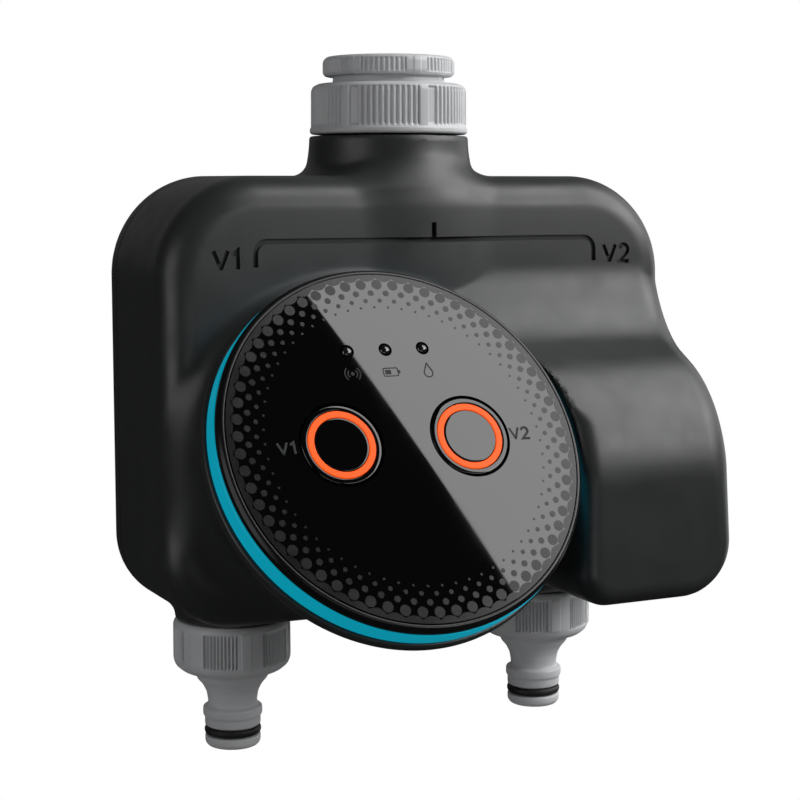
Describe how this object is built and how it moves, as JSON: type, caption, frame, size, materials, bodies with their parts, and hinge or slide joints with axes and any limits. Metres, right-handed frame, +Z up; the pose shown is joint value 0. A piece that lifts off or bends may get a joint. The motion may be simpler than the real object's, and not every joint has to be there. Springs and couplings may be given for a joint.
{
  "type": "drip irrigation timer",
  "caption": "Tap-mounted watering timer with two solenoid valve outlets, a tilted round control panel and a battery box beside it.",
  "frame": {"origin": "on the inlet axis, at the top face of the flat washer that the tap's spout presses on", "axes": "+Z up along the inlet axis, -Y out of the front with the control panel, +X to the right seen from the front"},
  "size_m": [0.1566, 0.1099, 0.1969],
  "materials": {
    "casing_black": "fine-grained anthracite moulded plastic",
    "panel_black": "polished black with matt dots",
    "accent_teal": "smooth satin teal plastic",
    "connector_grey": "satin light-grey glass-filled plastic",
    "rubber": "plain black rubber",
    "signal_orange": "satin orange plastic",
    "moulded_white": "natural white moulding",
    "lens": "clear light guide",
    "board_green": "solder mask over glass laminate",
    "steel": "stainless or plated steel",
    "copper_coil": "varnished copper winding",
    "cell_jacket": "plain printed can without lettering",
    "lead_red": "PVC insulation"
  },
  "bodies": {
    "housing": {"front_housing": "casing_black", "rear_cover": "casing_black", "inlet_spigot": "casing_black", "clamp_ring_1": "casing_black", "clamp_ring_2": "casing_black", "panel_bezel": "casing_black", "housing_screw_1": "steel", "housing_screw_2": "steel", "housing_screw_3": "steel", "housing_screw_4": "steel", "housing_screw_5": "steel", "housing_screw_6": "steel", "plunger_spring_1": "steel", "plunger_spring_2": "steel", "radio_module": "steel", "tactile_switch_1": "steel", "tactile_switch_2": "steel", "housing_seal": "rubber", "inlet_seal": "rubber", "diaphragm_1": "rubber", "diaphragm_2": "rubber", "button_mat": "rubber", "inlet_filter": "moulded_white", "manifold": "moulded_white", "valve_bonnet_1": "moulded_white", "valve_bonnet_2": "moulded_white", "electronics_tray": "moulded_white", "terminal_block": "moulded_white", "solenoid_coil_1": "copper_coil", "solenoid_coil_2": "copper_coil", "accent_ring": "accent_teal", "front_panel": "panel_black", "status_light_guide": "lens", "circuit_board": "board_green", "wiring_harness": "lead_red"},
    "union_nut": {"union_nut": "connector_grey"},
    "tap_adapter": {"inlet_adapter": "connector_grey", "tap_washer": "rubber"},
    "outlet_travel_1": {"outlet_seal_1": "rubber"},
    "outlet_1": {"outlet_connector_1": "connector_grey", "nipple_o_ring_1": "rubber"},
    "outlet_travel_2": {"outlet_seal_2": "rubber"},
    "outlet_2": {"outlet_connector_2": "connector_grey", "nipple_o_ring_2": "rubber"},
    "button_1": {"button_1": "panel_black", "button_ring_1": "signal_orange"},
    "button_2": {"button_2": "panel_black", "button_ring_2": "signal_orange"},
    "battery_drawer": {"battery_cover": "casing_black", "battery_seal": "rubber", "battery_tray": "casing_black", "battery_cell_1": "cell_jacket", "battery_cell_2": "cell_jacket", "battery_cell_3": "cell_jacket", "contact_plate_top": "steel", "contact_plate_bottom": "steel"},
    "battery_lock": {"battery_lock": "connector_grey"},
    "plunger_1": {"valve_plunger_1": "steel"},
    "plunger_2": {"valve_plunger_2": "steel"}
  },
  "joints": [
    {"name": "union_nut_turn", "type": "hinge", "parent": "housing", "child": "union_nut", "pos_m": [0, 0, -0.005], "axis": [0, 0, 1], "range_deg": [-990, 0]},
    {"name": "tap_adapter_unscrew", "type": "slide", "parent": "housing", "child": "tap_adapter", "axis": [0, 0, 1], "range_m": [0, 0.00635]},
    {"name": "outlet_1_travel", "type": "slide", "parent": "housing", "child": "outlet_travel_1", "axis": [0, 0, 1], "range_m": [-0.00953, 0]},
    {"name": "outlet_1_turn", "type": "hinge", "parent": "outlet_travel_1", "child": "outlet_1", "pos_m": [-0.05, 0, -0.165], "axis": [0, 0, 1], "range_deg": [-1890, 0]},
    {"name": "button_1_press", "type": "slide", "parent": "housing", "child": "button_1", "axis": [0, 0.8616, -0.5075], "range_m": [0, 0.0008], "stiffness_N_per_m": 1500, "springref_m": -0.0003},
    {"name": "plunger_1_lift", "type": "slide", "parent": "housing", "child": "plunger_1", "axis": [0, 0, 1], "range_m": [0, 0.002], "stiffness_N_per_m": 250, "springref_m": -0.003, "deforming": ["plunger_spring_1"]},
    {"name": "outlet_2_travel", "type": "slide", "parent": "housing", "child": "outlet_travel_2", "axis": [0, 0, 1], "range_m": [-0.00953, 0]},
    {"name": "outlet_2_turn", "type": "hinge", "parent": "outlet_travel_2", "child": "outlet_2", "pos_m": [0.05, 0, -0.165], "axis": [0, 0, 1], "range_deg": [-1890, 0]},
    {"name": "button_2_press", "type": "slide", "parent": "housing", "child": "button_2", "axis": [0, 0.8616, -0.5075], "range_m": [0, 0.0008], "stiffness_N_per_m": 1500, "springref_m": -0.0003},
    {"name": "plunger_2_lift", "type": "slide", "parent": "housing", "child": "plunger_2", "axis": [0, 0, 1], "range_m": [0, 0.002], "stiffness_N_per_m": 250, "springref_m": -0.003, "deforming": ["plunger_spring_2"]},
    {"name": "battery_drawer_slide", "type": "slide", "parent": "housing", "child": "battery_drawer", "axis": [0, 0, -1], "range_m": [0, 0.058]},
    {"name": "battery_lock_turn", "type": "hinge", "parent": "battery_drawer", "child": "battery_lock", "pos_m": [0.0503, -0.0442, -0.141], "axis": [0, 0, 1], "range_deg": [0, 90]}
  ],
  "couplings": [
    {"joint": "tap_adapter_unscrew", "follows": "union_nut_turn", "m_per_rad": -0.0003675},
    {"joint": "outlet_1_travel", "follows": "outlet_1_turn", "m_per_rad": 0.0002887},
    {"joint": "outlet_2_travel", "follows": "outlet_2_turn", "m_per_rad": 0.0002887}
  ]
}
